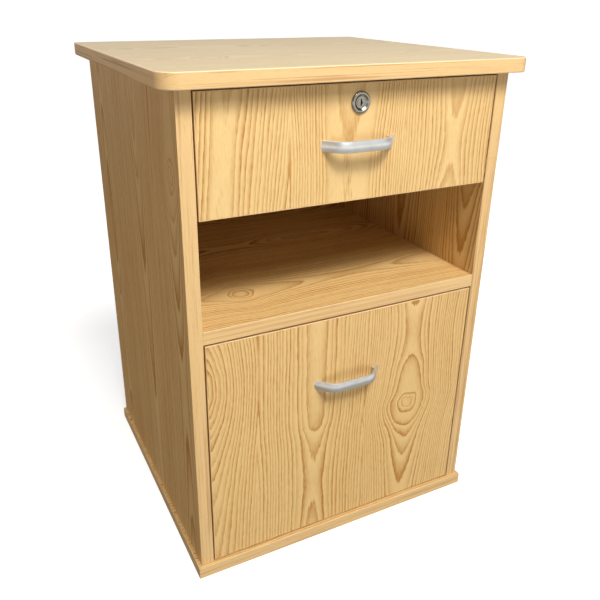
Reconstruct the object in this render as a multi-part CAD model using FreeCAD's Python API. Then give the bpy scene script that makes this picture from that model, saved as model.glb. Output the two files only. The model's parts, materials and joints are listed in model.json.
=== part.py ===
import FreeCAD, Part
import os
import math

# Bedside cabinet with a lockable top drawer, an open niche and a deep lower drawer.
# All sizes are in millimetres. X runs to the right, Y to the rear, Z up.
# The origin is the centre of the base panel's underside.

# Carcass boards
board = 18.0                    # thickness of sides, top, base, shelf and drawer fronts
edging = 1.0                    # thickness of the straight edging strips
body_width = 450.0              # outside of the side panels
body_depth = 432.0              # side panel front edge to rear edge
side_height = 650.0
base_proud = 5.0                # base stands out past the sides and the front
top_side_overhang = 20.0
top_front_overhang = 20.0
top_corner_radius = 22.0
top_edging = 2.0
top_arris = 1.5                 # rounding of the top's edging
arris = 0.5                     # eased long edges of the boards
seam_gap = 0.2                  # fine gap where two lengths of edging meet
left_seam = 109.5               # height of the seam in the left side's front strip
right_seam = 555.0
shelf_top = 384.0               # height of the shelf's upper face
back_thickness = 6.0
back_inset = 12.0               # rear face of the back panel in from the rear edges
groove_depth = 6.0
groove_play = 0.1               # gap on each side of a panel that sits in a groove

# Drawer fronts
side_reveal = 2.0               # gap between a drawer front and the side panel
end_reveal = 2.5                # gap above and below the lower drawer front
top_reveal = 4.0                # gap between the top drawer front and the top
top_front_bottom = 522.5        # lower edge of the top drawer front

# Drawer boxes and roller runners
box_board = 12.0
runner_gap = 12.5               # space between a box side and the cabinet side
box_length = 370.0
top_box_bottom = 537.0
top_box_height = 105.0
lower_box_bottom = 34.0
lower_box_height = 250.0
bottom_panel = 6.0
bottom_height = 8.0             # underside of the drawer bottom above the box bottom
bottom_groove = 5.0
sheet = 1.2                     # runner steel
runner_length = 350.0
cabinet_runner_start = 20.0     # behind the front plane
drawer_runner_start = 18.5
roller_radius = 10.0
roller_width = 7.4
axle_radius = 2.5
axle_play = 0.05
axle_head_radius = 4.0
axle_head = 0.8
front_roller_y = 33.0           # behind the front plane
rear_roller_y = 357.0
rolling_gap = 0.3               # between a roller and the flange it rolls on
roller_side_gap = 0.4           # between a roller and the sheet beside it
roller_end_gap = 0.3            # between a roller and its axle's head
roller_chamfer = 0.6

# Bow handle
handle_half_length = 50.0       # at the drawer face
handle_shoulder = 32.5
handle_reach = 20.8             # middle line of the bow in front of the face
handle_bend = 24.0
handle_height = 13.8
handle_crown = 1.5
handle_back = 3.6
handle_hole_spacing = 88.0
top_handle_height = 594.0
lower_handle_height = 267.0

# Cam lock
lock_height = 641.5
collar_radius = 12.8
collar_thickness = 2.8
barrel_radius = 9.3
plug_radius = 7.0
plug_play = 0.05
cam_reach = 22.5                # centre of the lock to the end of the cam
cam_thickness = 2.5

screw_play = 0.05               # radial gap between a fastener and its hole
cross_width = 0.9               # arms of the cross recess in small screw heads
cross_depth = 0.9

base_width = body_width + 2 * base_proud
base_depth = body_depth + base_proud
rear_y = base_depth / 2
front_y = rear_y - body_depth
base_front_y = -base_depth / 2
side_top = board + side_height
overall_height = side_top + board
inner_half = body_width / 2 - board
outer_half = body_width / 2
back_front_y = rear_y - back_inset - back_thickness
front_half = inner_half - side_reveal
top_front_top = side_top - top_reveal
lower_front_bottom = board + end_reveal
lower_front_top = shelf_top - board - end_reveal
box_outer_half = inner_half - runner_gap
box_inner_half = box_outer_half - box_board
box_front_y = front_y + board
box_rear_y = box_front_y + box_length

X = FreeCAD.Vector(1, 0, 0)
Y = FreeCAD.Vector(0, 1, 0)
Z = FreeCAD.Vector(0, 0, 1)

os.makedirs("parts", exist_ok=True)


def vec(x, y, z):
    return FreeCAD.Vector(x, y, z)


def block(x0, x1, y0, y1, z0, z1):
    return Part.makeBox(x1 - x0, y1 - y0, z1 - z0, vec(x0, y0, z0))


def rod(radius, length, start, direction):
    return Part.makeCylinder(radius, length, start, direction)


def cone(radius_a, radius_b, length, start, direction):
    return Part.makeCone(radius_a, radius_b, length, start, direction)


def join(shapes):
    result = shapes[0]
    for shape in shapes[1:]:
        result = result.fuse(shape)
    return result.removeSplitter()


def drill(shape, tools):
    for tool in tools:
        shape = shape.cut(tool)
    return shape


def export(name, shape):
    shape.exportStep("parts/" + name + ".step")


def export_group(name, shapes):
    export(name, Part.makeCompound(shapes))


def edges_along(shape, axis):
    found = []
    for edge in shape.Edges:
        if len(edge.Vertexes) != 2:
            continue
        span = edge.Vertexes[1].Point - edge.Vertexes[0].Point
        if abs(abs(span.dot(axis)) - edge.Length) < 1e-6:
            found.append(edge)
    return found


def mirrored(shape):
    return shape.mirror(vec(0, 0, 0), X)


# A countersunk wood screw: the head's flat is at the start point.
def flush_screw(start, direction, length, shank, head, cone_length, play):
    top = cone(head + play, shank + play, cone_length, start, direction)
    body = rod(shank + play, length + play, start, direction)
    return top.fuse(body)


def recess_cross(start, direction, across, width, length, depth):
    other = direction.cross(across)
    slots = []
    for along, side in ((across, other), (other, across)):
        corner = start - along * (length / 2) - side * (width / 2)
        a = corner
        b = corner + along * length
        c = b + side * width
        d = corner + side * width
        face = Part.Face(Part.makePolygon([a, b, c, d, a]))
        slots.append(face.extrude(direction * depth))
    return slots[0].fuse(slots[1])


def finished_flush_screw(start, direction, across, length, shank, head, cone_length):
    screw = flush_screw(start, direction, length, shank, head, cone_length, 0.0)
    return screw.cut(recess_cross(start, direction, across, cross_width, head * 1.1, cross_depth))


# ---------------------------------------------------------------- carcass fasteners

cam_disc_radius = 7.4
cam_disc_depth = 12.5
cam_setback = 34.0              # centre of a cam disc from the joint face
cam_bolt_radius = 3.0
cam_bolt_bite = 11.0            # length screwed into the other panel
dowel_radius = 4.0
dowel_half = 12.0               # dowel length on each side of a joint
confirmat_length = 48.0
confirmat_shank = 3.0
confirmat_head = 4.8
confirmat_cone = 3.0

shelf_middle_z = shelf_top - board / 2
shelf_rear_y = back_front_y - groove_play
shelf_cam_y = [front_y + 60.0, front_y + 340.0]
shelf_dowel_y = [front_y + 90.0, front_y + 310.0]
top_cam_y = [front_y + 70.0, front_y + 350.0]
top_dowel_y = [front_y + 110.0, front_y + 310.0]
base_screw_y = [front_y + 50.0, front_y + 215.0, front_y + 380.0]


def cam_bolt(start, direction, play):
    length = cam_bolt_bite + cam_setback - cam_disc_radius + 2 * play
    return rod(cam_bolt_radius + play, length, start - direction * play, direction)


def cam_disc(start, direction, across, play):
    disc = rod(cam_disc_radius + play, cam_disc_depth + play, start, direction)
    if play == 0.0:
        disc = disc.cut(recess_cross(start, direction, across, 1.6, 8.0, 2.0))
    return disc


def carcass_cams(play):
    discs = []
    bolts = []
    for sign in (-1, 1):
        for y in shelf_cam_y:
            x = sign * (inner_half - cam_setback)
            under = vec(x, y, shelf_top - board)
            discs.append(cam_disc(under, Z, X, play))
            bolt_start = vec(sign * (inner_half + cam_bolt_bite), y, shelf_middle_z)
            bolts.append(cam_bolt(bolt_start, X * -sign, play))
        for y in top_cam_y:
            face = vec(sign * inner_half, y, side_top - cam_setback)
            discs.append(cam_disc(face, X * sign, Y, play))
            bolt_start = vec(sign * (outer_half - board / 2), y, side_top + cam_bolt_bite)
            bolts.append(cam_bolt(bolt_start, Z * -1, play))
    return discs, bolts


def carcass_dowels(play):
    dowels = []
    radius = dowel_radius + play
    length = 2 * (dowel_half + play)
    for sign in (-1, 1):
        for y in shelf_dowel_y:
            x = sign * (inner_half + dowel_half + play)
            dowels.append(rod(radius, length, vec(x, y, shelf_middle_z), X * -sign))
        for y in top_dowel_y:
            x = sign * (outer_half - board / 2)
            dowels.append(rod(radius, length, vec(x, y, side_top - dowel_half - play), Z))
    return dowels


def base_screws(play):
    screws = []
    for sign in (-1, 1):
        for y in base_screw_y:
            start = vec(sign * (outer_half - board / 2), y, 0)
            if play == 0.0:
                screw = finished_flush_screw(
                    start, Z, X, confirmat_length, confirmat_shank, confirmat_head, confirmat_cone)
            else:
                screw = flush_screw(
                    start, Z, confirmat_length, confirmat_shank, confirmat_head, confirmat_cone, play)
            screws.append(screw)
    return screws


disc_holes, bolt_holes = carcass_cams(screw_play)
carcass_holes = disc_holes + bolt_holes + carcass_dowels(screw_play) + base_screws(screw_play)

# ---------------------------------------------------------------- runners

# The sizes below are for the left side; the right side is the mirror image.
cabinet_face = -inner_half
drawer_face = -box_outer_half
cabinet_flange_end = drawer_face - sheet - 0.5
rail_flange_end = cabinet_face + sheet + 2.3
lip_end = cabinet_face + sheet + 5.8
runner_screw_y = [cabinet_runner_start + 40.0, cabinet_runner_start + 180.0, cabinet_runner_start + 310.0]
drawer_screw_y = [drawer_runner_start + 45.0, drawer_runner_start + 185.0, drawer_runner_start + 290.0]
channel_height = 25.2
roller_centre = sheet + rolling_gap + roller_radius
rail_under = roller_centre + roller_radius + rolling_gap
runner_screw_height = roller_centre + 2.0
drawer_screw_height = 18.3
under_flange = 12.0             # flange that carries the box side
axle_length = roller_side_gap + roller_width + roller_end_gap
cabinet_screw_length = 15.0
drawer_screw_length = 11.0
web_screw_shank = 1.9
web_screw_head = 3.4
web_screw_cone = 1.6


def cabinet_runner_screws(box_bottom, play):
    screws = []
    for y in runner_screw_y:
        start = vec(cabinet_face + sheet, front_y + y, box_bottom + runner_screw_height)
        if play == 0.0:
            screws.append(finished_flush_screw(
                start, X * -1, Y, cabinet_screw_length, web_screw_shank, web_screw_head, web_screw_cone))
        else:
            screws.append(flush_screw(
                start, X * -1, cabinet_screw_length, web_screw_shank, web_screw_head, web_screw_cone, play))
    return screws


def drawer_runner_screws(box_bottom, play):
    screws = []
    for y in drawer_screw_y:
        start = vec(drawer_face - sheet, front_y + y, box_bottom + drawer_screw_height)
        if play == 0.0:
            screws.append(finished_flush_screw(
                start, X, Y, drawer_screw_length, web_screw_shank, web_screw_head, web_screw_cone))
        else:
            screws.append(flush_screw(
                start, X, drawer_screw_length, web_screw_shank, web_screw_head, web_screw_cone, play))
    return screws


# Steel channel on the cabinet side: web, lower flange, upper lip, rear stop and front axle.
def cabinet_runner(box_bottom):
    y0 = front_y + cabinet_runner_start
    y1 = y0 + runner_length
    web = block(cabinet_face, cabinet_face + sheet, y0, y1, box_bottom, box_bottom + channel_height)
    flange = block(cabinet_face, cabinet_flange_end, y0, y1, box_bottom, box_bottom + sheet)
    lip = block(cabinet_face, lip_end, y0, y1, box_bottom + channel_height - sheet,
                box_bottom + channel_height)
    stop = block(cabinet_face, cabinet_flange_end - 1.0, y1 - sheet, y1, box_bottom,
                 box_bottom + roller_centre)
    axle_start = vec(cabinet_face, front_y + front_roller_y, box_bottom + roller_centre)
    axle = rod(axle_radius, sheet + axle_length, axle_start, X)
    head_start = axle_start + X * (sheet + axle_length)
    head = rod(axle_head_radius, axle_head, head_start, X)
    runner = join([web, flange, lip, stop, axle, head])
    return drill(runner, cabinet_runner_screws(box_bottom, screw_play))


# Steel rail on the box side: web, carrying flange, rolling flange and rear axle.
def drawer_runner(box_bottom):
    y0 = front_y + drawer_runner_start
    y1 = y0 + runner_length
    web = block(drawer_face - sheet, drawer_face, y0, y1, box_bottom - sheet,
                box_bottom + rail_under + sheet)
    carry = block(drawer_face - sheet, drawer_face + under_flange, y0, y1, box_bottom - sheet, box_bottom)
    rail = block(rail_flange_end, drawer_face, y0, y1, box_bottom + rail_under,
                 box_bottom + rail_under + sheet)
    axle_start = vec(drawer_face - sheet, front_y + rear_roller_y, box_bottom + roller_centre)
    axle = rod(axle_radius, axle_length, axle_start, X * -1)
    head_start = axle_start - X * axle_length
    head = rod(axle_head_radius, axle_head, head_start, X * -1)
    runner = join([web, carry, rail, axle, head])
    return drill(runner, drawer_runner_screws(box_bottom, screw_play))


def roller(centre, direction):
    body = rod(roller_radius, roller_width, centre, direction)
    rims = []
    for edge in body.Edges:
        if edge.Curve.TypeId == "Part::GeomCircle":
            rims.append(edge)
    body = body.makeChamfer(roller_chamfer, rims)
    return body.cut(rod(axle_radius + axle_play, roller_width, centre, direction))


def front_roller(box_bottom):
    x = cabinet_face + sheet + roller_side_gap
    return roller(vec(x, front_y + front_roller_y, box_bottom + roller_centre), X)


def rear_roller(box_bottom):
    x = drawer_face - sheet - roller_side_gap
    return roller(vec(x, front_y + rear_roller_y, box_bottom + roller_centre), X * -1)


# ---------------------------------------------------------------- lock strike

strike_half = 15.0
strike_sheet = 1.5
strike_front = front_y + board + 1.0
strike_depth = 26.0
strike_bottom = 655.0
strike_screw_x = 9.0
strike_screw_y = strike_front + 16.0
strike_head_radius = 3.5
strike_head = 2.0
strike_shank_radius = 1.9
strike_screw_bite = 12.0


def strike_screw(sign, play):
    start = vec(sign * strike_screw_x, strike_screw_y, side_top - strike_sheet)
    head = rod(strike_head_radius, strike_head, start - Z * strike_head, Z)
    shank = rod(strike_shank_radius + play, strike_sheet + strike_screw_bite + play, start, Z)
    return head, shank


strike_holes = [strike_screw(-1, screw_play)[1], strike_screw(1, screw_play)[1]]
strike_leg = block(-strike_half, strike_half, strike_front, strike_front + strike_sheet,
                   strike_bottom, side_top)
strike_plate = block(-strike_half, strike_half, strike_front, strike_front + strike_depth,
                     side_top - strike_sheet, side_top)
lock_strike = drill(join([strike_leg, strike_plate]), strike_holes)
strike_screws = []
for sign in (-1, 1):
    head, shank = strike_screw(sign, 0.0)
    screw = head.fuse(shank).removeSplitter()
    slot_start = vec(sign * strike_screw_x, strike_screw_y, side_top - strike_sheet - strike_head)
    strike_screws.append(screw.cut(recess_cross(slot_start, Z, X, cross_width, 4.0, 1.0)))

# ---------------------------------------------------------------- carcass panels

all_cabinet_screw_holes = []
for box_bottom in (top_box_bottom, lower_box_bottom):
    for hole in cabinet_runner_screws(box_bottom, screw_play):
        all_cabinet_screw_holes.append(hole)
        all_cabinet_screw_holes.append(mirrored(hole))

back_groove = block(-inner_half - groove_depth, inner_half + groove_depth,
                    back_front_y - groove_play, back_front_y + back_thickness + groove_play,
                    board, side_top)
side_tools = carcass_holes + all_cabinet_screw_holes + [back_groove]


def side_panel(sign):
    x0 = min(sign * inner_half, sign * outer_half)
    panel = block(x0, x0 + board, front_y + edging, rear_y, board, side_top)
    return drill(panel, side_tools)


# The front strip of a side panel comes in two lengths that meet in a fine seam.
def side_edging(sign, seam):
    x0 = min(sign * inner_half, sign * outer_half)
    pieces = []
    for low, high in ((board, seam - seam_gap / 2), (seam + seam_gap / 2, side_top)):
        strip = block(x0, x0 + board, front_y, front_y + edging, low, high)
        long_edges = []
        for edge in edges_along(strip, Z):
            if abs(edge.CenterOfMass.y - front_y) < 1e-6:
                long_edges.append(edge)
        pieces.append(strip.makeFillet(arris, long_edges))
    return pieces


export("left_side_panel", side_panel(-1))
export("right_side_panel", side_panel(1))
export_group("left_side_edging", side_edging(-1, left_seam))
export_group("right_side_edging", side_edging(1, right_seam))

base_core = block(-base_width / 2 + edging, base_width / 2 - edging, base_front_y + edging, rear_y, 0, board)
export("base_panel", drill(base_core, base_screws(screw_play)))


# Rounds the one or two edges along an axis whose middles lie at the given places.
def eased(strip, axis, places):
    chosen = []
    for edge in edges_along(strip, axis):
        for place in places:
            if edge.CenterOfMass.distanceToPoint(place) < 1e-6:
                chosen.append(edge)
    return strip.makeFillet(arris, chosen)


base_strip_front = eased(
    block(-base_width / 2, base_width / 2, base_front_y, base_front_y + edging, 0, board),
    X, [vec(0, base_front_y, board)])
base_strip_left = eased(
    block(-base_width / 2, -base_width / 2 + edging, base_front_y + edging, rear_y, 0, board),
    Y, [vec(-base_width / 2, (base_front_y + edging + rear_y) / 2, board)])
export_group("base_edging", [base_strip_front, base_strip_left, mirrored(base_strip_left)])

shelf_core = block(-inner_half, inner_half, front_y + edging, shelf_rear_y, shelf_top - board, shelf_top)
export("shelf_panel", drill(shelf_core, carcass_holes))
shelf_strip = block(-inner_half, inner_half, front_y, front_y + edging, shelf_top - board, shelf_top)
shelf_arrises = [vec(0, front_y, shelf_top), vec(0, front_y, shelf_top - board)]
export("shelf_edging", eased(shelf_strip, X, shelf_arrises))

back_half = inner_half + groove_depth - groove_play
export("back_panel", block(-back_half, back_half, back_front_y, back_front_y + back_thickness,
                           board, side_top))


# Outline of the top with two rounded front corners, drawn in from the outside by an offset.
def top_outline(offset):
    half = body_width / 2 + top_side_overhang - offset
    front = front_y - top_front_overhang + offset
    radius = top_corner_radius - offset
    diagonal = radius * (1 - math.sqrt(0.5))
    left_end = vec(-half, front + radius, side_top)
    left_middle = vec(-half + diagonal, front + diagonal, side_top)
    left_front = vec(-half + radius, front, side_top)
    right_front = vec(half - radius, front, side_top)
    right_middle = vec(half - diagonal, front + diagonal, side_top)
    right_end = vec(half, front + radius, side_top)
    edges = [
        Part.makeLine(vec(-half, rear_y, side_top), left_end),
        Part.Arc(left_end, left_middle, left_front).toShape(),
        Part.makeLine(left_front, right_front),
        Part.Arc(right_front, right_middle, right_end).toShape(),
        Part.makeLine(right_end, vec(half, rear_y, side_top)),
        Part.makeLine(vec(half, rear_y, side_top), vec(-half, rear_y, side_top)),
    ]
    return Part.Face(Part.Wire(edges))


top_whole = top_outline(0).extrude(vec(0, 0, board))
top_core = top_outline(top_edging).extrude(vec(0, 0, board))
rounded = []
for edge in top_whole.Edges:
    middle = edge.valueAt((edge.FirstParameter + edge.LastParameter) / 2)
    level = abs(middle.z - side_top) < 1e-6 or abs(middle.z - overall_height) < 1e-6
    if level and middle.y < rear_y - 1.0:
        rounded.append(edge)
top_whole = top_whole.makeFillet(top_arris, rounded)
export("top_panel", drill(top_core, carcass_holes + strike_holes))
export("top_edging", top_whole.cut(top_core))

discs, bolts = carcass_cams(0.0)
export_group("cam_discs", discs)
export_group("cam_bolts", bolts)
export_group("carcass_dowels", carcass_dowels(0.0))
export_group("base_screws", base_screws(0.0))
export("lock_strike", lock_strike)
export_group("lock_strike_screws", strike_screws)

cabinet_screws = []
for name, box_bottom in (("top", top_box_bottom), ("lower", lower_box_bottom)):
    left_runner = cabinet_runner(box_bottom)
    export(name + "_left_cabinet_runner", left_runner)
    export(name + "_right_cabinet_runner", mirrored(left_runner))
    export(name + "_left_front_roller", front_roller(box_bottom))
    export(name + "_right_front_roller", mirrored(front_roller(box_bottom)))
    export(name + "_left_rear_roller", rear_roller(box_bottom))
    export(name + "_right_rear_roller", mirrored(rear_roller(box_bottom)))
    for screw in cabinet_runner_screws(box_bottom, 0.0):
        cabinet_screws.append(screw)
        cabinet_screws.append(mirrored(screw))
export_group("cabinet_runner_screws", cabinet_screws)

# ---------------------------------------------------------------- handles

handle_hole_depth = 5.4
handle_screw_radius = 2.0
handle_screw_play = 0.25
handle_screw_bite = 5.0
handle_head_radius = 4.0
handle_head = 2.6
run_on = 9.0                    # how far the bow's legs are drawn behind the face before trimming
boss_inner = 40.9
boss_outer = 48.4
boss_depth = 5.0
boss_half_height = 5.4
leg_slope = handle_reach / (handle_half_length - handle_shoulder)


# Middle line of the bow on one level, its ends running on behind the drawer face.
def bow_path(z):
    foot = handle_half_length + run_on / leg_slope
    bend_angle = math.atan(leg_slope)
    tangent = handle_bend * math.tan(bend_angle / 2)
    flat_end = handle_shoulder - tangent
    leg_x = handle_shoulder + tangent * math.cos(bend_angle)
    leg_y = front_y - handle_reach + tangent * math.sin(bend_angle)
    centre_y = front_y - handle_reach + handle_bend
    mid_x = flat_end + handle_bend * math.sin(bend_angle / 2)
    mid_y = centre_y - handle_bend * math.cos(bend_angle / 2)
    level = front_y - handle_reach
    right_arc = Part.Arc(vec(flat_end, level, z), vec(mid_x, mid_y, z), vec(leg_x, leg_y, z))
    left_arc = Part.Arc(vec(-leg_x, leg_y, z), vec(-mid_x, mid_y, z), vec(-flat_end, level, z))
    return Part.Wire([
        Part.makeLine(vec(-foot, front_y + run_on, z), vec(-leg_x, leg_y, z)),
        left_arc.toShape(),
        Part.makeLine(vec(-flat_end, level, z), vec(flat_end, level, z)),
        right_arc.toShape(),
        Part.makeLine(vec(leg_x, leg_y, z), vec(foot, front_y + run_on, z)),
    ])


# Flat-backed section with a crowned outer face, placed square to the start of the path.
def bow_section(z):
    half = handle_height / 2
    crown = handle_crown
    back = handle_back
    outline = [
        (-back, -half + 1.2), (-back + 0.5, -half + 0.4), (-back + 1.4, -half),
        (-0.8, -half), (0.1, -half + 0.5), (crown - 0.5, -half * 0.5), (crown, 0.0),
        (crown - 0.5, half * 0.5), (0.1, half - 0.5), (-0.8, half),
        (-back + 1.4, half), (-back + 0.5, half - 0.4), (-back, half - 1.2),
    ]
    start = bow_path(z).Edges[0]
    origin = start.valueAt(start.FirstParameter)
    along = start.tangentAt(start.FirstParameter)
    outward = Z.cross(along) * -1
    points = []
    for out, up in outline:
        points.append(origin + outward * out + Z * up)
    crowned = Part.BSplineCurve()
    crowned.interpolate(points[4:9])
    edges = [crowned.toShape()]
    ring = points[8:] + points[:5]
    for first, second in zip(ring[:-1], ring[1:]):
        edges.append(Part.makeLine(first, second))
    return Part.Wire(edges)


def handle(z):
    bow = bow_path(z).makePipeShell([bow_section(z)], True, True)
    behind = block(-2 * handle_half_length, 2 * handle_half_length, front_y, front_y + 3 * run_on,
                   z - handle_height, z + handle_height)
    bow = bow.cut(behind)
    pieces = [bow]
    for sign in (-1, 1):
        corners = [
            vec(sign * boss_inner, front_y, z - boss_half_height),
            vec(sign * boss_outer, front_y, z - boss_half_height),
            vec(sign * (boss_outer - boss_depth / leg_slope), front_y - boss_depth, z - boss_half_height),
            vec(sign * boss_inner, front_y - boss_depth, z - boss_half_height),
        ]
        base = Part.Face(Part.makePolygon(corners + [corners[0]]))
        pieces.append(base.extrude(vec(0, 0, 2 * boss_half_height)))
    whole = join(pieces)
    holes = []
    for sign in (-1, 1):
        start = vec(sign * handle_hole_spacing / 2, front_y, z)
        holes.append(rod(handle_screw_radius + screw_play, handle_hole_depth, start, Y * -1))
    return drill(whole, holes)


def handle_screws(z):
    screws = []
    for sign in (-1, 1):
        x = sign * handle_hole_spacing / 2
        head_start = vec(x, front_y + board, z)
        head = rod(handle_head_radius, handle_head, head_start, Y)
        shank = rod(handle_screw_radius, board + handle_screw_bite, head_start, Y * -1)
        screw = head.fuse(shank).removeSplitter()
        slot = recess_cross(head_start + Y * handle_head, Y * -1, X, 1.0, 4.6, 1.2)
        screws.append(screw.cut(slot))
    return screws


def handle_screw_holes(z):
    holes = []
    for sign in (-1, 1):
        start = vec(sign * handle_hole_spacing / 2, front_y, z)
        holes.append(rod(handle_screw_radius + handle_screw_play, board, start, Y))
    return holes


# ---------------------------------------------------------------- cam lock

lock_barrel_end = front_y + 21.0
dish_radius = 9.6               # mouth of the dish around the plug
dish_depth = 1.6
collar_rounding = 1.6
plug_face = front_y - 1.5
plug_end = front_y + 21.3
key_depth = 14.0
key_half_width = 0.9
key_half_height = 4.0
ring_outer = 5.7                # fine groove around the keyhole
ring_inner = 5.1
ring_depth = 0.4
cam_screw_radius = 2.0
cam_screw_bite = 5.5
cam_screw_head_radius = 4.0
cam_screw_head = 2.2
nut_radius = 11.5
nut_thickness = 2.4
cam_hub = 8.0
cam_half_width = 5.0


def lock_point(y):
    return vec(0, y, lock_height)


def lock_housing():
    collar = rod(collar_radius, collar_thickness, lock_point(front_y - collar_thickness), Y)
    front_rim = []
    for edge in collar.Edges:
        if edge.Curve.TypeId == "Part::GeomCircle" and edge.CenterOfMass.y < front_y - 1.0:
            front_rim.append(edge)
    collar = collar.makeFillet(collar_rounding, front_rim)
    barrel = rod(barrel_radius, lock_barrel_end - front_y, lock_point(front_y), Y)
    body = collar.fuse(barrel).removeSplitter()
    dish = cone(dish_radius, plug_radius + plug_play, dish_depth, lock_point(front_y - collar_thickness), Y)
    bore = rod(plug_radius + plug_play, 2 * board, lock_point(front_y - 2 * collar_thickness), Y)
    return drill(body, [dish, bore])


def lock_nut():
    ring = []
    for step in range(7):
        angle = math.radians(60 * step)
        x = nut_radius * math.cos(angle)
        z = lock_height + nut_radius * math.sin(angle)
        ring.append(vec(x, front_y + board, z))
    hexagon = Part.Face(Part.makePolygon(ring)).extrude(Y * nut_thickness)
    return hexagon.cut(rod(barrel_radius + screw_play, nut_thickness, lock_point(front_y + board), Y))


def lock_plug():
    plug = rod(plug_radius, plug_end - plug_face, lock_point(plug_face), Y)
    key_end = plug_face + key_depth
    key_slot = block(-key_half_width, key_half_width, plug_face, key_end,
                     lock_height - key_half_height, lock_height + key_half_height)
    key_side = block(key_half_width, 2.0, plug_face, key_end, lock_height - 1.6, lock_height + 0.6)
    ring = rod(ring_outer, ring_depth, lock_point(plug_face), Y)
    ring = ring.cut(rod(ring_inner, ring_depth, lock_point(plug_face), Y))
    thread = rod(cam_screw_radius + screw_play, cam_screw_bite + 0.5, lock_point(plug_end), Y * -1)
    return drill(plug, [key_slot, key_side, ring, thread])


def lock_cam():
    hub = rod(cam_hub, cam_thickness, lock_point(plug_end), Y)
    arm = block(-cam_reach, 0, plug_end, plug_end + cam_thickness,
                lock_height - cam_half_width, lock_height + cam_half_width)
    plate = hub.fuse(arm).removeSplitter()
    return plate.cut(rod(cam_screw_radius + screw_play, cam_thickness, lock_point(plug_end), Y))


def cam_screw():
    seat = lock_point(plug_end + cam_thickness)
    head = rod(cam_screw_head_radius, cam_screw_head, seat, Y)
    shank = rod(cam_screw_radius, cam_thickness + cam_screw_bite, seat, Y * -1)
    slot = recess_cross(seat + Y * cam_screw_head, Y * -1, X, 1.0, 4.6, 1.1)
    return head.fuse(shank).removeSplitter().cut(slot)


export("lock_housing", lock_housing())
export("lock_nut", lock_nut())
export("lock_plug", lock_plug())
export("lock_cam", lock_cam())
export("lock_cam_screw", cam_screw())

# ---------------------------------------------------------------- drawers

box_dowel_radius = 3.0
box_dowel_half = 11.0
box_dowel_low = 30.0            # lowest dowel above the box bottom
box_dowel_high = 20.0           # highest dowel below the box top
corner_dowel_inset = 3.0        # end of a rear corner dowel in from the outer face of the side
corner_dowel_length = 20.0


# Dowels from the box sides into the front, and from the sides into the box back.
def box_dowels(box_bottom, box_height, play):
    dowels = []
    radius = box_dowel_radius + play
    length = 2 * (box_dowel_half + play)
    heights = [box_bottom + box_dowel_low, box_bottom + box_height - box_dowel_high]
    if box_height > 200:
        heights.append(box_bottom + box_height / 2)
    for sign in (-1, 1):
        for z in heights:
            x = sign * (box_inner_half + box_board / 2)
            start = vec(x, box_front_y - box_dowel_half - play, z)
            dowels.append(rod(radius, length, start, Y))
            corner_x = sign * (box_outer_half - corner_dowel_inset + play)
            side_start = vec(corner_x, box_rear_y - box_board / 2, z)
            dowels.append(rod(radius, corner_dowel_length + 2 * play, side_start, X * -sign))
    return dowels


def drawer_bottom(box_bottom):
    low = box_bottom + bottom_height
    reach = bottom_groove - groove_play
    return block(-box_inner_half - reach, box_inner_half + reach, box_front_y - reach, box_rear_y,
                 low, low + bottom_panel)


def drawer_bottom_groove(box_bottom):
    low = box_bottom + bottom_height
    reach = bottom_groove
    return block(-box_inner_half - reach, box_inner_half + reach, box_front_y - reach, box_rear_y + 1.0,
                 low - groove_play, low + bottom_panel + groove_play)


def make_drawer(name, front_low, front_high, box_bottom, box_height, handle_z, extra_holes):
    dowel_holes = box_dowels(box_bottom, box_height, screw_play)
    groove = drawer_bottom_groove(box_bottom)
    core = block(-front_half + edging, front_half - edging, front_y, front_y + board,
                 front_low + edging, front_high - edging)
    export(name + "_drawer_front",
           drill(core, dowel_holes + handle_screw_holes(handle_z) + extra_holes + [groove]))
    strips = [
        block(-front_half, front_half, front_y, front_y + board, front_high - edging, front_high),
        block(-front_half, front_half, front_y, front_y + board, front_low, front_low + edging),
        block(-front_half, -front_half + edging, front_y, front_y + board,
              front_low + edging, front_high - edging),
        block(front_half - edging, front_half, front_y, front_y + board,
              front_low + edging, front_high - edging),
    ]
    middle = (front_low + front_high) / 2
    strips[0] = eased(strips[0], X, [vec(0, front_y, front_high)])
    strips[1] = eased(strips[1], X, [vec(0, front_y, front_low)])
    strips[2] = eased(strips[2], Z, [vec(-front_half, front_y, middle)])
    strips[3] = eased(strips[3], Z, [vec(front_half, front_y, middle)])
    export_group(name + "_drawer_front_edging", strips)
    side = block(-box_outer_half, -box_inner_half, box_front_y, box_rear_y, box_bottom,
                 box_bottom + box_height)
    side = drill(side, dowel_holes + drawer_runner_screws(box_bottom, screw_play) + [groove])
    export(name + "_drawer_left_side", side)
    export(name + "_drawer_right_side", mirrored(side))
    back_low = box_bottom + bottom_height + bottom_panel + groove_play
    back = block(-box_inner_half, box_inner_half, box_rear_y - box_board, box_rear_y, back_low,
                 box_bottom + box_height)
    export(name + "_drawer_back", drill(back, dowel_holes))
    export(name + "_drawer_bottom", drawer_bottom(box_bottom))
    export_group(name + "_drawer_dowels", box_dowels(box_bottom, box_height, 0.0))
    export(name + "_handle", handle(handle_z))
    export_group(name + "_handle_screws", handle_screws(handle_z))
    left_rail = drawer_runner(box_bottom)
    export(name + "_left_drawer_runner", left_rail)
    export(name + "_right_drawer_runner", mirrored(left_rail))
    screws = []
    for screw in drawer_runner_screws(box_bottom, 0.0):
        screws.append(screw)
        screws.append(mirrored(screw))
    export_group(name + "_drawer_runner_screws", screws)


lock_hole = rod(barrel_radius + 2 * screw_play, board, lock_point(front_y), Y)
make_drawer("top", top_front_bottom, top_front_top, top_box_bottom, top_box_height,
            top_handle_height, [lock_hole])
make_drawer("lower", lower_front_bottom, lower_front_top, lower_box_bottom, lower_box_height,
            lower_handle_height, [])
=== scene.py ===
import json
import math

import bpy
from mathutils import Matrix, Vector


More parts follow.
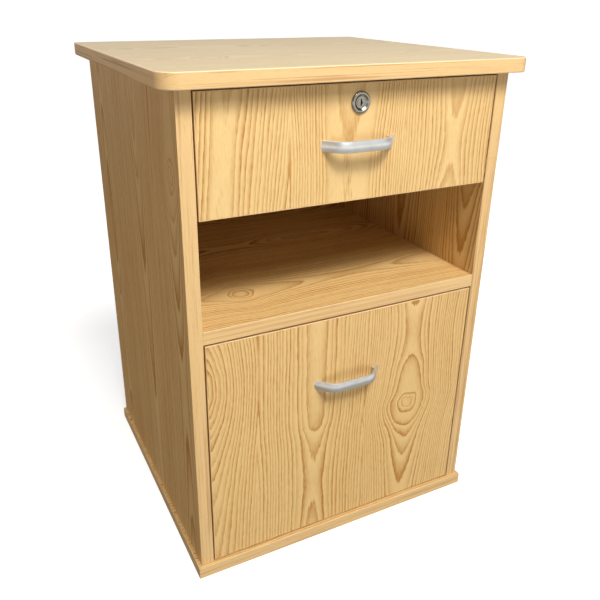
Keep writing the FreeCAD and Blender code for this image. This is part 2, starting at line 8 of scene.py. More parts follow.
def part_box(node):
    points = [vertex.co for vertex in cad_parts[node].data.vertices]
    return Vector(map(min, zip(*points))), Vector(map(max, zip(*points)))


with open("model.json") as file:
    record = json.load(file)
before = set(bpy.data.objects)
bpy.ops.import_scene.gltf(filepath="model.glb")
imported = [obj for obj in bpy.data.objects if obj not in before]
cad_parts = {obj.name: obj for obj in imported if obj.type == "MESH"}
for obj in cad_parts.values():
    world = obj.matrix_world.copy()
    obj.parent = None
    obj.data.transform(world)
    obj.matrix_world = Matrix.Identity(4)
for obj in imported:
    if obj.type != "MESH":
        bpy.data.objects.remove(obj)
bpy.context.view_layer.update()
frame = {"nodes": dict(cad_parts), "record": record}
nodes = frame["nodes"]
scene = bpy.context.scene

MM = 0.001
X_AXIS, Y_AXIS, Z_AXIS = 0, 1, 2

# Printed laminate: ground, dark late wood, duller ground, and a greyer colour for painted sheen on
# the top; linear RGB
OAK_PALE = (0.845, 0.614, 0.290, 1)
OAK_LINE = (0.470, 0.208, 0.036, 1)
OAK_GREY = (0.700, 0.430, 0.155, 1)
TOP_SHEEN_GREY = (0.560, 0.496, 0.320, 1)
# Printed edging: ground, lines, and a pale painted highlight on the arris
EDGE_PALE = (0.800, 0.545, 0.262, 1)
EDGE_LINE = (0.440, 0.215, 0.085, 1)
EDGE_HIGHLIGHT = (0.900, 0.740, 0.500, 1)
BEECH_PALE = (0.48, 0.27, 0.13, 1)
BEECH_DARK = (0.33, 0.17, 0.075, 1)
OAK_GLOSS = 0.45

# Noises drawn out along the grain: features per metre across it and along it, octaves, seed offset
WANDER = (14.0, 3.2, 3.0, 0.0)
RIPPLE = (60.0, 11.0, 2.0, 31.0)
SWAY = (30.0, 9.0, 1.0, 83.0)
LUMP = (62.0, 38.0, 1.0, 67.0)
FIBRE = (520.0, 46.0, 2.0, 57.0)
DRIFT = (26.0, 5.0, 2.0, 11.0)
DASHES = (900.0, 120.0, 1.0, 43.0)
PORES = (1500.0, 70.0, 1.0, 5.0)
SHADE = (9.0, 2.0, 2.0, 19.0)
EDGE_COARSE = (330.0, 2.6, 3.0, 0.0)
EDGE_FINE = (900.0, 14.0, 2.0, 9.0)
EDGE_DASHES = (1300.0, 90.0, 1.0, 3.0)
EDGE_SHADE = (60.0, 1.5, 2.0, 21.0)

# How far the noises bend the figure
WANDER_REACH = 11.0 * MM
RIPPLE_REACH = 4.2 * MM
SWAY_REACH = 14.0 * MM
LUMP_REACH = 15.0 * MM
LUMP_FULL = 6.0 * MM        # the loops round a knot are lumpy this near its middle
LUMP_NONE = 34.0 * MM       # and even this far out

# Years of the figure
CROWD_RATE = 0.22 / (22.0 * MM) ** 2    # rings added away from a heart, per square metre of offset
CROWD_LIMIT = 75.0 * MM
GROWTH_REACH = 60.0 * MM
GROWTH_RINGS = 12.0
HEART_BLEND = 0.8
YEAR_RATE = 0.43            # how fast wide and narrow years follow each other
YEAR_SWING = 0.9
FRAY = 0.34                 # how much the fibres fray a dark line

# Strength of the dark lines
LATE_POWER = 2.2            # how late in the year the wood turns dark
YEAR_END = 0.90             # where the dark line starts to end
RING_WEIGHT = (0.75, 1.65)
DRIFT_WEIGHT = (0.55, 1.35)
DASH_WEIGHT = (0.72, 1.30)
STREAKS = 0.40
PORE_DARKNESS = 0.30

# Strength of the painted highlight on the strips' arrises
ARRIS_HIGHLIGHT = 0.75
EDGE_SLANT = 0.6            # how far the strips' lines move over their depth
FACING = 0.7                # least part of a normal along the axis that its face looks along
POLISH_SCALE = 900.0
SMUDGE_SCALE = 70.0
SOIL_SCALE = 9.0
FLECK_SCALE = 300.0
TARNISH = 0.86
ROUGH_SPREAD = 0.06


class Graph:
    """A material whose nodes are added one at a time, with maths written as calls."""

    def __init__(self, name):
        self.material = bpy.data.materials.new(name)
        self.material.use_nodes = True
        self.tree = self.material.node_tree
        self.tree.nodes.clear()
        output = self.tree.nodes.new("ShaderNodeOutputMaterial")
        self.shader = self.tree.nodes.new("ShaderNodeBsdfPrincipled")
        self.link(self.shader.outputs[0], output.inputs["Surface"])
        self.position = self.tree.nodes.new("ShaderNodeTexCoord").outputs["Object"]

    def link(self, source, target):
        self.tree.links.new(source, target)

    def feed(self, node, index, value):
        if isinstance(value, bpy.types.NodeSocket):
            self.link(value, node.inputs[index])
        else:
            node.inputs[index].default_value = value

    def math(self, operation, *values):
        node = self.tree.nodes.new("ShaderNodeMath")
        node.operation = operation
        for index, value in enumerate(values):
            self.feed(node, index, value)
        return node.outputs[0]

    def add(self, a, b):
        return self.math("ADD", a, b)

    def sub(self, a, b):
        return self.math("SUBTRACT", a, b)

    def mul(self, a, b):
        return self.math("MULTIPLY", a, b)

    def blend(self, share, a, b):
        return self.add(a, self.mul(self.sub(b, a), share))

    def split(self, vector):
        node = self.tree.nodes.new("ShaderNodeSeparateXYZ")
        self.link(vector, node.inputs[0])
        return node.outputs[0], node.outputs[1], node.outputs[2]

    def vector(self, x, y, z):
        node = self.tree.nodes.new("ShaderNodeCombineXYZ")
        for index, value in enumerate((x, y, z)):
            self.feed(node, index, value)
        return node.outputs[0]

    def noise(self, vector, scale, octaves):
        """Noise about zero, from roughly -0.5 to 0.5."""
        node = self.tree.nodes.new("ShaderNodeTexNoise")
        node.inputs["Scale"].default_value = scale
        node.inputs["Detail"].default_value = octaves
        self.link(vector, node.inputs["Vector"])
        return self.sub(node.outputs["Fac"], 0.5)

    def stretched(self, grain, kind, seed):
        """Noise drawn out along the grain, which is given as places across, along and into it."""
        across, along, depth = grain
        across_scale, along_scale, octaves, offset = kind
        spot = self.vector(
            self.add(self.mul(across, across_scale), seed + offset),
            self.mul(along, along_scale),
            self.mul(depth, along_scale))
        return self.noise(spot, 1.0, octaves)

    def white(self, value):
        node = self.tree.nodes.new("ShaderNodeTexWhiteNoise")
        node.noise_dimensions = "1D"
        self.feed(node, "W", value)
        return node.outputs["Value"]

    def remap(self, value, low, high, to_low=0.0, to_high=1.0, smooth=False):
        node = self.tree.nodes.new("ShaderNodeMapRange")
        node.interpolation_type = "SMOOTHSTEP" if smooth else "LINEAR"
        self.feed(node, 0, value)
        for index, number in enumerate((low, high, to_low, to_high)):
            self.feed(node, index + 1, number)
        return node.outputs[0]

    def spread(self, noise, reach, to_low=0.0, to_high=1.0):
        """Remaps noise that runs from -reach to reach."""
        return self.remap(noise, -reach, reach, to_low, to_high)

    def curve(self, value, points):
        """A smooth curve from 0..1 to 0..1 through a few points."""
        node = self.tree.nodes.new("ShaderNodeFloatCurve")
        self.feed(node, "Value", value)
        line = node.mapping.curves[0]
        line.points[0].location = points[0]
        line.points[1].location = points[-1]
        for x, y in points[1:-1]:
            line.points.new(x, y)
        node.mapping.update()
        return node.outputs[0]

    def normal_parts(self):
        normal = self.tree.nodes.new("ShaderNodeNewGeometry").outputs["Normal"]
        return [self.math("ABSOLUTE", part) for part in self.split(normal)]

    def facing(self, axis):
        """1 on faces that look along one axis and 0 on the rest."""
        return self.math("GREATER_THAN", self.normal_parts()[axis], FACING)

    def arris_highlight_mask(self):
        """Where a painted highlight goes: high on the rounded edges between an upright and a level
        face, and 0 on flat faces.
        """
        upward = self.normal_parts()[Z_AXIS]
        rise = self.remap(upward, 0.25, 0.55, 0.0, ARRIS_HIGHLIGHT, True)
        return self.mul(rise, self.remap(upward, 0.90, 0.98, 1.0, 0.0))

    def mix(self, factor, a, b):
        node = self.tree.nodes.new("ShaderNodeMix")
        node.data_type = "RGBA"
        self.feed(node, 0, factor)
        self.feed(node, 6, a)
        self.feed(node, 7, b)
        return node.outputs[2]

    def colour(self, value):
        self.feed(self.shader, "Base Color", value)

    def bump(self, height, distance, strength):
        node = self.tree.nodes.new("ShaderNodeBump")
        node.inputs["Strength"].default_value = strength
        node.inputs["Distance"].default_value = distance
        self.link(height, node.inputs["Height"])
        self.link(node.outputs[0], self.shader.inputs["Normal"])

    def set(self, **values):
        for name, value in values.items():
            self.feed(self.shader, name.replace("_", " "), value)


# ---------------------------------------------------------------- the materials

def ring_field(graph, grain, hearts, seed):
    """Ring number at each point of a board, where whole numbers are dark lines, and its fibres."""
    wander = graph.mul(graph.stretched(grain, WANDER, seed), WANDER_REACH)
    ripple = graph.mul(graph.stretched(grain, RIPPLE, seed), RIPPLE_REACH)
    sway = graph.mul(graph.stretched(grain, SWAY, seed), SWAY_REACH)
    fibre = graph.stretched(grain, FIBRE, seed)
    bent = graph.add(grain[0], graph.add(wander, ripple))
    swayed = graph.add(grain[1], sway)
    field = None
    for item in hearts:
        share = graph.remap(swayed, item["start"], item["end"])
        middle = graph.add(graph.mul(graph.sub(share, 0.5), item["lean"]), item["centre"])
        offset = graph.sub(bent, middle)
        depth = graph.mul(graph.curve(share, item["points"]), item["depth"])
        offset_square = graph.mul(offset, offset)
        radius = graph.math("SQRT", graph.add(offset_square, graph.mul(depth, depth)))
        if item["growth"]:
            lump = graph.mul(graph.stretched(grain, LUMP, seed), LUMP_REACH)
            near = graph.remap(radius, LUMP_FULL, LUMP_NONE, 1.0, 0.0, True)
            radius = graph.add(radius, graph.mul(lump, near))
            young = graph.curve(graph.remap(radius, 0.0, GROWTH_REACH), item["growth"])
            beyond = graph.math("MAXIMUM", graph.sub(radius, GROWTH_REACH), 0.0)
            even = graph.mul(beyond, 1.0 / item["spacing"])
            rings = graph.add(graph.mul(young, GROWTH_RINGS), even)
        else:
            rings = graph.add(graph.mul(radius, 1.0 / item["spacing"]), item["phase"])
        crowded = graph.math("MINIMUM", offset_square, CROWD_LIMIT ** 2)
        rings = graph.add(rings, graph.mul(crowded, CROWD_RATE))
        field = rings if field is None else graph.math("SMOOTH_MIN", field, rings, HEART_BLEND)
    uneven = graph.noise(graph.vector(graph.mul(field, YEAR_RATE), seed, 0.0), 1.0, 1.0)
    field = graph.add(field, graph.mul(uneven, YEAR_SWING))
    return graph.add(field, graph.mul(fibre, FRAY)), fibre


def board(name, across_axis, along_axis, hearts, seed, strength, tint=0.0, sheen_share=0.0):
    """Laminate printed with a flat-sawn oak figure, and with straight lines on its long edges."""
    graph = Graph(name)
    axes = graph.split(graph.position)
    across, third = axes[across_axis], axes[3 - across_axis - along_axis]
    edge = graph.facing(across_axis)
    grain = (graph.blend(edge, across, third), axes[along_axis], graph.blend(edge, third, across))
    field, fibre = ring_field(graph, grain, hearts, seed)

    part = graph.math("FRACT", field)
    ring = graph.math("FLOOR", field)
    late = graph.math("POWER", part, LATE_POWER)
    late = graph.mul(late, graph.remap(part, YEAR_END, 1.0, 1.0, 0.0, True))
    dashes = graph.stretched(grain, DASHES, seed)
    weight = graph.remap(graph.white(graph.add(ring, seed)), 0.0, 1.0, *RING_WEIGHT)
    drift = graph.stretched(grain, DRIFT, seed)
    weight = graph.mul(weight, graph.spread(drift, 0.3, *DRIFT_WEIGHT))
    weight = graph.mul(weight, graph.spread(dashes, 0.25, *DASH_WEIGHT))
    lines = graph.math("MINIMUM", graph.mul(graph.mul(late, weight), strength), 1.0)

    pore = graph.remap(graph.stretched(grain, PORES, seed), 0.06, 0.28, 0.0, PORE_DARKNESS, True)
    # Broad random tone; a raised tint deepens it, which on the lower drawer front, shelf and side
    # panels is painted shade
    shade = graph.spread(graph.stretched(grain, SHADE, seed), 0.3, 0.0, 0.30 + tint)
    streak = graph.mul(graph.add(fibre, dashes), 0.6)
    tone = graph.mix(shade, OAK_PALE, OAK_GREY)
    tone = graph.mix(graph.spread(streak, 0.25, 0.0, STREAKS), tone, OAK_GREY)
    tone = graph.mix(pore, tone, OAK_LINE)
    # The top's face is mixed toward a greyer colour: painted sheen, standing in for the light the
    # top reflects
    graph.colour(graph.mix(sheen_share, graph.mix(lines, tone, OAK_LINE), TOP_SHEEN_GREY))

    sunk = graph.add(graph.mul(pore, 1.2), graph.mul(lines, 0.5))
    graph.bump(graph.sub(graph.mul(fibre, 0.4), sunk), 0.12 * MM, 0.35)
    graph.set(Roughness=graph.remap(graph.add(fibre, lines), -0.5, 1.2, 0.40, 0.52))
    graph.set(Specular_IOR_Level=OAK_GLOSS)
    return graph.material


def strip(name, across_axis, along_axis, seed, wraps=False, strength=0.64):
    """Edging with straight, slightly pinker grain, which turns with a strip that wraps round."""
    graph = Graph(name)
    axes = graph.split(graph.position)
    across, along, third = axes[across_axis], axes[along_axis], axes[3 - across_axis - along_axis]
    if wraps:
        turned = graph.facing(along_axis)
        along, third = graph.blend(turned, along, third), graph.blend(turned, third, along)
    grain = (graph.add(across, graph.mul(third, EDGE_SLANT)), along, third)
    fine = graph.stretched(grain, EDGE_FINE, seed)
    coarse = graph.add(graph.stretched(grain, EDGE_COARSE, seed), graph.mul(fine, 0.45))
    lines = graph.remap(coarse, -0.02, 0.16, 0.0, strength, True)
    dash = graph.remap(graph.stretched(grain, EDGE_DASHES, seed), 0.08, 0.3, 0.0, 0.35, True)
    shade = graph.spread(graph.stretched(grain, EDGE_SHADE, seed), 0.3, 0.0, 0.45)
    amount = graph.math("MAXIMUM", lines, dash)
    printed = graph.mix(amount, graph.mix(shade, EDGE_PALE, OAK_GREY), EDGE_LINE)
    # A painted highlight along the rounded arris of the strips
    graph.colour(graph.mix(graph.arris_highlight_mask(), printed, EDGE_HIGHLIGHT))
    graph.bump(graph.sub(fine, amount), 0.10 * MM, 0.3)
    graph.set(Roughness=graph.spread(fine, 0.4, 0.38, 0.50))
    graph.set(Specular_IOR_Level=OAK_GLOSS)
    return graph.material


def metal(name, tint, rough_low, rough_high, seed, stretch=(1.0, 1.0, 1.0), metallic=1.0):
    """Metal with fine polishing marks, faint smudges and a little tarnish."""
    graph = Graph(name)
    axes = graph.split(graph.position)
    spot = graph.vector(*[graph.mul(axis, factor) for axis, factor in zip(axes, stretch)])
    marks = graph.noise(spot, POLISH_SCALE + seed, 3.0)
    smudge = graph.noise(graph.position, SMUDGE_SCALE + seed, 3.0)
    dull = tuple(TARNISH * channel for channel in tint) + (1,)
    graph.colour(graph.mix(graph.remap(smudge, -0.25, 0.3, 0.0, 1.0, True), tint + (1,), dull))
    graph.set(Metallic=metallic)
    graph.set(Roughness=graph.spread(graph.add(marks, smudge), 0.5, rough_low, rough_high))
    graph.bump(marks, 0.02 * MM, 0.25)
    return graph.material


def coated(name, tint, rough, speck_scale, speck, bump_size):
    """White melamine, powder coat or nylon: a pale base with fine texture and light soiling."""
    graph = Graph(name)
    texture = graph.noise(graph.position, speck_scale, 3.0)
    soil = graph.noise(graph.position, SOIL_SCALE, 4.0)
    darker = tuple(channel * (1.0 - speck) for channel in tint) + (1,)
    amount = graph.remap(graph.add(graph.mul(texture, 0.8), graph.mul(soil, 0.5)), -0.3, 0.4)
    graph.colour(graph.mix(amount, tint + (1,), darker))
    graph.set(Roughness=graph.spread(texture, 0.4, rough - ROUGH_SPREAD, rough + ROUGH_SPREAD))
    graph.bump(texture, bump_size, 0.4)
    return graph.material


def dowel_wood():
    graph = Graph("beech_dowel")
    flecks = graph.noise(graph.position, FLECK_SCALE, 3.0)
    graph.colour(graph.mix(graph.spread(flecks, 0.3), BEECH_PALE, BEECH_DARK))
    graph.set(Roughness=graph.spread(flecks, 0.4, 0.55, 0.7))
    graph.bump(flecks, 0.1 * MM, 0.3)
    return graph.material


# ---------------------------------------------------------------- the figure on each board

# Years round a knot: two narrow ones, one wide one, then narrow ones
KNOT_GROWTH = [
    (0, 0.06), (0.237, 0.25), (0.35, 0.333), (0.52, 0.368), (0.573, 0.417), (0.647, 0.50),
    (0.717, 0.583), (0.793, 0.667), (0.867, 0.75), (1, 0.90)]
# Years of a broad plain heart: one very wide year, then narrow ones
BROAD_GROWTH = [
    (0, 0.06), (0.38, 0.333), (0.50, 0.417), (0.73, 0.458), (0.783, 0.50), (0.857, 0.583),
    (0.93, 0.667), (1, 0.745)]


def heart(node, across_axis, along_axis, share, depth, points, spacing, phase=0.0, lean=0.0,
          growth=None):
    """One heart of the figure on a board.

    Its middle line runs along the grain, at a share of the board's width, and moves sideways by
    `lean` over the board's length. Over that length the curve's points, from 0 to 1, give how deep
    the pith lies below the surface, up to `depth`: where that grows the rings close in arches, and
    where it is nearly nothing they close in loops round a knot. Rings are `spacing` apart, and
    `phase` says where the first one is. `growth` gives wide and narrow years instead: a curve from
    share of GROWTH_REACH to share of GROWTH_RINGS, with even years beyond it. Lengths are in
    millimetres.
    """
    low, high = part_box(node)
    width = high[across_axis] - low[across_axis]
    return {"centre": low[across_axis] + share * width, "start": low[along_axis],
            "end": high[along_axis], "depth": depth * MM, "points": points,
            "spacing": spacing * MM, "phase": phase, "lean": lean * MM, "growth": growth}


side_knot = [(0, 0.80), (0.20, 0.90), (0.45, 0.955), (0.588, 0.864), (0.695, 0.776), (0.76, 0.688),
             (0.811, 0.42), (0.835, 0.28), (0.852, 0.18), (0.869, 0.28), (0.895, 0.42), (1, 0.60)]
level_knot = [(0, 0.72), (0.12, 0.60), (0.175, 0.34), (0.21, 0.18), (0.245, 0.34), (0.28, 0.46),
              (0.43, 0.66), (0.60, 0.73), (0.78, 0.68), (0.90, 0.58), (1, 0.50)]
arch = [(0, 0.94), (0.22, 0.90), (0.588, 0.784), (0.775, 0.668), (0.861, 0.552), (1, 0.47)]
plain = [(0, 0.70), (0.3, 0.84), (0.6, 0.66), (1, 0.90)]

lower = ("lower_drawer_front", X_AXIS, Z_AXIS)
lower_hearts = [
    heart(*lower, -0.02, 62.0,
          [(0, 0.98), (0.35, 0.80), (0.60, 0.50), (0.74, 0.22), (0.82, 0.09), (0.90, 0.22),
           (1, 0.42)], 5.0, 0.4),
    heart(*lower, 0.382, 42.0,
          [(0, 0.786), (0.136, 0.845), (0.22, 0.875), (0.33, 0.848), (0.44, 0.790), (0.497, 0.715),
           (0.53, 0.650), (0.60, 0.612), (0.80, 0.596), (1, 0.575)], 5.8, 0.83),
    heart(*lower, 0.768, 50.0,
          [(0, 0.965), (0.197, 0.864), (0.308, 0.776), (0.363, 0.688), (0.442, 0.42),
           (0.471, 0.284), (0.503, 0.18), (0.535, 0.284), (0.558, 0.42), (0.60, 0.50),
           (0.68, 0.58), (0.771, 0.688), (0.873, 0.720), (0.961, 0.69), (1, 0.66)], 4.4,
          growth=KNOT_GROWTH),
]
top = ("top_drawer_front", X_AXIS, Z_AXIS)
top_hearts = [
    heart(*top, 0.075, 44.0, [(0, 0.56), (0.5, 0.58), (1, 0.55)], 5.8, 0.83, 14.0),
    heart(*top, 0.472, 50.0,
          [(0, 0.63), (0.35, 0.625), (0.55, 0.60), (0.75, 0.53), (1, 0.46)], 4.4,
          growth=BROAD_GROWTH),
    heart(*top, 0.855, 40.0,
          [(0, 0.56), (0.19, 0.65), (0.475, 0.705), (0.70, 0.65), (0.91, 0.587), (1, 0.56)],
          5.8, 0.52),
]
back = ("back_panel", X_AXIS, Z_AXIS)
back_hearts = [
    heart(*back, 0.20, 46.0, arch, 4.7, 0.3),
    heart(*back, 0.62, 44.0, side_knot, 4.5, 0.6),
    heart(*back, 1.02, 48.0, plain, 4.9, 0.1),
]


def side_hearts(node):
    side = (node, Y_AXIS, Z_AXIS)
    return [
        heart(*side, 0.073, 50.0, side_knot, 4.4, growth=KNOT_GROWTH),
        heart(*side, 0.425, 50.0, arch, 5.8, 0.24),
        heart(*side, 0.86, 50.0, plain, 5.2, 0.3),
    ]


def level_hearts(node, first, second, third):
    """Hearts of a board whose grain runs from left to right."""
    level = (node, Y_AXIS, X_AXIS)
    return [
        heart(*level, first, 50.0, level_knot, 4.4, growth=KNOT_GROWTH),
        heart(*level, second, 44.0, [(0, 0.55), (0.35, 0.86), (0.62, 0.60), (1, 0.90)], 4.4, 0.6),
        heart(*level, third, 50.0, plain, 5.0, 0.9),
    ]


UPRIGHT = (X_AXIS, Z_AXIS)
SIDE = (Y_AXIS, Z_AXIS)
LEVEL = (Y_AXIS, X_AXIS)
LEVEL_EDGE = (Z_AXIS, X_AXIS)
BRUSHED = (0.15, 1.0, 1.0)      # polishing marks drawn out from left to right

left_hearts = side_hearts("left_side_panel")
right_hearts = side_hearts("right_side_panel")
top_board_hearts = level_hearts("top_panel", 0.30, 0.66, 1.0)
shelf_hearts = level_hearts("shelf_panel", 0.205, 0.62, 0.95)
base_hearts = level_hearts("base_panel", 0.25, 0.6, 0.9)

finishes = {
    "top_drawer_front": board("oak_top_drawer", *UPRIGHT, top_hearts, 3.7, 0.85),
    # A deeper, more saturated tone on the lower drawer front and side panels is painted shade
    "lower_drawer_front": board("oak_lower_drawer", *UPRIGHT, lower_hearts, 11.3, 0.92, tint=0.26),
    "left_side_panel": board("oak_left_side", *SIDE, left_hearts, 23.9, 1.1, tint=0.70),
    "right_side_panel": board("oak_right_side", *SIDE, right_hearts, 47.1, 1.1, tint=0.70),
    "back_panel": board("oak_back", *UPRIGHT, back_hearts, 61.5, 0.9),
    # The top panel's greyer face is painted sheen
    "top_panel": board("oak_top", *LEVEL, top_board_hearts, 71.2, 0.9, sheen_share=0.55),
    # A deeper tone on the shelf is painted shade
    "shelf_panel": board("oak_shelf", *LEVEL, shelf_hearts, 83.6, 1.0, tint=0.25),
    "base_panel": board("oak_base", *LEVEL, base_hearts, 95.4, 0.75),
    "top_edging": strip("edging_top", *LEVEL_EDGE, 5.1, wraps=True),
    "base_edging": strip("edging_base", *LEVEL_EDGE, 15.7, wraps=True),
    # Fainter lines make the shelf's edging paler: painted light
    "shelf_edging": strip("edging_shelf", *LEVEL_EDGE, 27.3, strength=0.36),
    "left_side_edging": strip("edging_left", *UPRIGHT, 37.9),
    "right_side_edging": strip("edging_right", *UPRIGHT, 49.2),
    "top_drawer_front_edging": strip("edging_top_drawer", *SIDE, 58.8, wraps=True),
    "lower_drawer_front_edging": strip("edging_lower_drawer", *SIDE, 66.4, wraps=True),
    # A darker copy of the satin silver for the lower handle: painted shade
    "lower_handle": metal(
        "satin_silver_shaded", (0.69, 0.70, 0.715), 0.33, 0.43, 5.0, BRUSHED, 0.80),
}
slots = {
    "satin_silver": metal("satin_silver", (0.80, 0.815, 0.84), 0.32, 0.42, 3.0, BRUSHED, 0.74),
    "nickel": metal("bright_nickel", (0.31, 0.295, 0.27), 0.14, 0.24, 11.0),
    "zinc_steel": metal("zinc_steel", (0.58, 0.59, 0.60), 0.28, 0.45, 7.0),
    "white_board": coated("white_melamine", (0.80, 0.79, 0.76), 0.45, 700.0, 0.06, 0.05 * MM),
    "white_steel": coated("white_powder_coat", (0.82, 0.82, 0.80), 0.35, 1200.0, 0.05, 0.04 * MM),
    "white_nylon": coated("white_nylon", (0.80, 0.80, 0.77), 0.48, 500.0, 0.08, 0.03 * MM),
    "beech": dowel_wood(),
}
slot_of = {part["node"]: part["material_slot"] for part in frame["record"]["subparts"]}
for name, node in nodes.items():
    material = finishes.get(name) or slots[slot_of[name]]
    for index in range(len(node.material_slots)):
        node.material_slots[index].material = material

# ---------------------------------------------------------------- floor, backdrop and card

FLOOR_REACH = 40.0
DOME_RADIUS = 38.0
DOME_SIDES = 48
DOME_RINGS = 12
DOME_SKIRT = math.radians(-4.0)     # the dome starts a little below the floor
CARD_HALF_WIDTH = 1.8
CARD_Y = -2.5
CARD_BOTTOM, CARD_TOP = 0.70, 2.4


def pale_sheet(name, material_name, points, faces, greys, cloud_scale, octaves, **settings):
    """A stage piece that glows a little and adds no diffuse light to the cabinet."""
    mesh = bpy.data.meshes.new(name)
    mesh.from_pydata(points, [], faces)
    sheet = bpy.data.objects.new(name, mesh)
    scene.collection.objects.link(sheet)
    graph = Graph(material_name)
    cloud = graph.spread(graph.noise(graph.position, cloud_scale, octaves), 0.4)
    graph.colour(graph.mix(cloud, *[(grey, grey, grey, 1) for grey in greys]))
    graph.set(**settings)
    mesh.materials.append(graph.material)
    sheet.visible_diffuse = False
    return sheet


floor = pale_sheet(
    "floor", "pale_floor",
    [(-FLOOR_REACH, -FLOOR_REACH, 0), (FLOOR_REACH, -FLOOR_REACH, 0),
     (FLOOR_REACH, FLOOR_REACH, 0), (-FLOOR_REACH, FLOOR_REACH, 0)], [(0, 1, 2, 3)],
    (0.60, 0.58), 3.0, 3.0, Roughness=0.8, Specular_IOR_Level=0.1,
    Emission_Color=(1.0, 1.0, 1.0, 1), Emission_Strength=0.70)
floor.visible_glossy = False

# A dome behind everything, which the camera sees and the light passes through
dome_points = []
for ring in range(DOME_RINGS):
    tilt = DOME_SKIRT + ring * math.radians(90.0) / DOME_RINGS
    out, rise = DOME_RADIUS * math.cos(tilt), DOME_RADIUS * math.sin(tilt)
    for side in range(DOME_SIDES):
        turn = 2 * math.pi * side / DOME_SIDES
        dome_points.append((out * math.cos(turn), out * math.sin(turn), rise))
dome_faces = []
last_row = (DOME_RINGS - 1) * DOME_SIDES
for row in range(0, last_row, DOME_SIDES):
    above = row + DOME_SIDES
    for side in range(DOME_SIDES):
        after = (side + 1) % DOME_SIDES
        dome_faces.append((row + side, above + side, above + after, row + after))
dome_faces.append(tuple(range(last_row, last_row + DOME_SIDES)))
dome = pale_sheet(
    "backdrop", "pale_backdrop", dome_points, dome_faces,
    (0.02, 0.03), 0.1, 2.0, Roughness=0.9, Specular_IOR_Level=0.0,
    Emission_Color=(1.0, 1.0, 1.0, 1), Emission_Strength=1.0)
dome.visible_glossy = False
dome.visible_shadow = False

# A large pale card in front, seen only in reflections, chiefly those of the metal
card = pale_sheet(
    "reflector_card", "card_glow",
    [(-CARD_HALF_WIDTH, CARD_Y, CARD_BOTTOM), (CARD_HALF_WIDTH, CARD_Y, CARD_BOTTOM),
     (CARD_HALF_WIDTH, CARD_Y, CARD_TOP), (-CARD_HALF_WIDTH, CARD_Y, CARD_TOP)], [(0, 1, 2, 3)],
    (0.02, 0.03), 0.8, 2.0, Roughness=0.9, Specular_IOR_Level=0.0,
    Emission_Color=(1.0, 0.99, 0.97, 1), Emission_Strength=0.60)
card.visible_camera = False
card.visible_shadow = False

# ---------------------------------------------------------------- lights

KEY_TINT = (1.0, 0.985, 0.955)
WARM_TINT = (1.0, 0.68, 0.34)
SUN_ENERGY = 1.6
SUN_ANGLE = math.radians(13)


def add_light(name, data, location, target):
    light = bpy.data.objects.new(name, data)
    light.location = location
    direction = Vector(target) - light.location
    light.rotation_euler = direction.to_track_quat("-Z", "Y").to_euler()
    scene.collection.objects.link(light)


def area_light(name, location, target, width, height, power, tint):
    data = bpy.data.lights.new(name, "AREA")
    data.shape = "RECTANGLE"
    data.size = width
    data.size_y = height
    data.energy = power
    data.color = tint
    add_light(name, data, location, target)


sun_data = bpy.data.lights.new("fill_sun", "SUN")
sun_data.energy = SUN_ENERGY
sun_data.angle = SUN_ANGLE
sun_data.color = KEY_TINT
add_light("fill_sun", sun_data, (0.0, -2.0, 2.86), (0.0, 0.0, 0.0))
area_light("key_area", (0.05, -1.00, 1.60), (0.0, -0.2, 0.4), 0.90, 0.60, 16.0, KEY_TINT)
area_light("side_fill", (-2.4, -0.2, 0.6), (0.0, 0.0, 0.35), 2.0, 1.4, 6.0, WARM_TINT)

# The room's light by direction. Each fade runs from one place to another, and from one strength
# to another. Heights run from -1 straight down to 1 straight up, and rearness from -1 to 1.
COOL_SKY = (0.98, 0.985, 1.0, 1)
WARM_BOUNCE = (1.0, 0.97, 0.87, 1)
EVEN_BY_HEIGHT = (-0.10, 0.10, 0.08, 0.10)
REAR_BY_REARNESS = (-0.1, 0.6, 0.0, 1.0)
REAR_RISE_BY_HEIGHT = (-0.04, 0.0, 0.0, 1.35)
REAR_FALL_BY_HEIGHT = (0.10, 0.55, 1.0, 0.0)
FRONT_BY_REARNESS = (-0.35, 0.10, 1.0, 0.0)
BELOW_BY_HEIGHT = (-0.06, 0.03, 1.0, 0.0)
BOUNCE_BY_HEIGHT = (-0.50, -0.08, 0.32, 1.42)

world = bpy.data.worlds.new("room")
scene.world = world
world.use_nodes = True
tree = world.node_tree
background = tree.nodes["Background"]


def sky_fade(value, numbers):
    fade = tree.nodes.new("ShaderNodeMapRange")
    fade.interpolation_type = "SMOOTHSTEP"
    tree.links.new(value, fade.inputs[0])
    for index, number in enumerate(numbers):
        fade.inputs[index + 1].default_value = number
    return fade.outputs[0]


def sky_math(operation, a, b):
    node = tree.nodes.new("ShaderNodeMath")
    node.operation = operation
    tree.links.new(a, node.inputs[0])
    tree.links.new(b, node.inputs[1])
    return node.outputs[0]


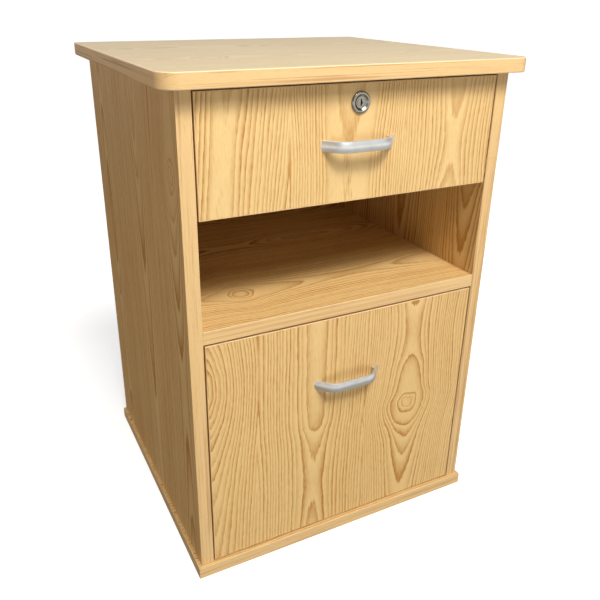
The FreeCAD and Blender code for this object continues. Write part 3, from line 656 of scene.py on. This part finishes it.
# The room is dim above, pale low down behind the cabinet, and brightest below the horizon in
# front, from where a pale floor throws warm light back up.
sky_split = tree.nodes.new("ShaderNodeSeparateXYZ")
tree.links.new(tree.nodes.new("ShaderNodeTexCoord").outputs["Generated"], sky_split.inputs[0])
rearness, height = sky_split.outputs[1], sky_split.outputs[2]
rise, fall = sky_fade(height, REAR_RISE_BY_HEIGHT), sky_fade(height, REAR_FALL_BY_HEIGHT)
band = sky_math("MULTIPLY", rise, fall)
behind = sky_math("MULTIPLY", sky_fade(rearness, REAR_BY_REARNESS), band)
in_front = sky_fade(rearness, FRONT_BY_REARNESS)
low_front = sky_math("MULTIPLY", in_front, sky_fade(height, BELOW_BY_HEIGHT))
bounce = sky_math("MULTIPLY", low_front, sky_fade(height, BOUNCE_BY_HEIGHT))
strength = sky_math("ADD", sky_fade(height, EVEN_BY_HEIGHT), sky_math("ADD", behind, bounce))
tree.links.new(strength, background.inputs["Strength"])
sky_tint = tree.nodes.new("ShaderNodeMix")
sky_tint.data_type = "RGBA"
tree.links.new(low_front, sky_tint.inputs[0])
sky_tint.inputs[6].default_value = COOL_SKY
sky_tint.inputs[7].default_value = WARM_BOUNCE
tree.links.new(sky_tint.outputs[2], background.inputs["Color"])

# ---------------------------------------------------------------- camera

CAMERA_PLACE = (-0.43056, -0.88485, 0.75761)
CAMERA_RIGHT = (0.89293, -0.45009, 0.00988)
CAMERA_UP = (0.17181, 0.36098, 0.91661)
CAMERA_BACKWARD = (-0.41612, -0.81677, 0.39966)

camera_data = bpy.data.cameras.new("camera")
camera_data.sensor_width = 36.0
camera_data.lens = 39.635
camera_data.shift_x = 0.0143
camera_data.shift_y = -0.0312
camera_data.clip_start = 0.05
camera = bpy.data.objects.new("camera", camera_data)
camera_axes = Matrix((CAMERA_RIGHT, CAMERA_UP, CAMERA_BACKWARD)).transposed().to_4x4()
camera.matrix_world = Matrix.Translation(CAMERA_PLACE) @ camera_axes
scene.collection.objects.link(camera)
scene.camera = camera

scene.view_settings.view_transform = "Standard"
scene.view_settings.look = "None"
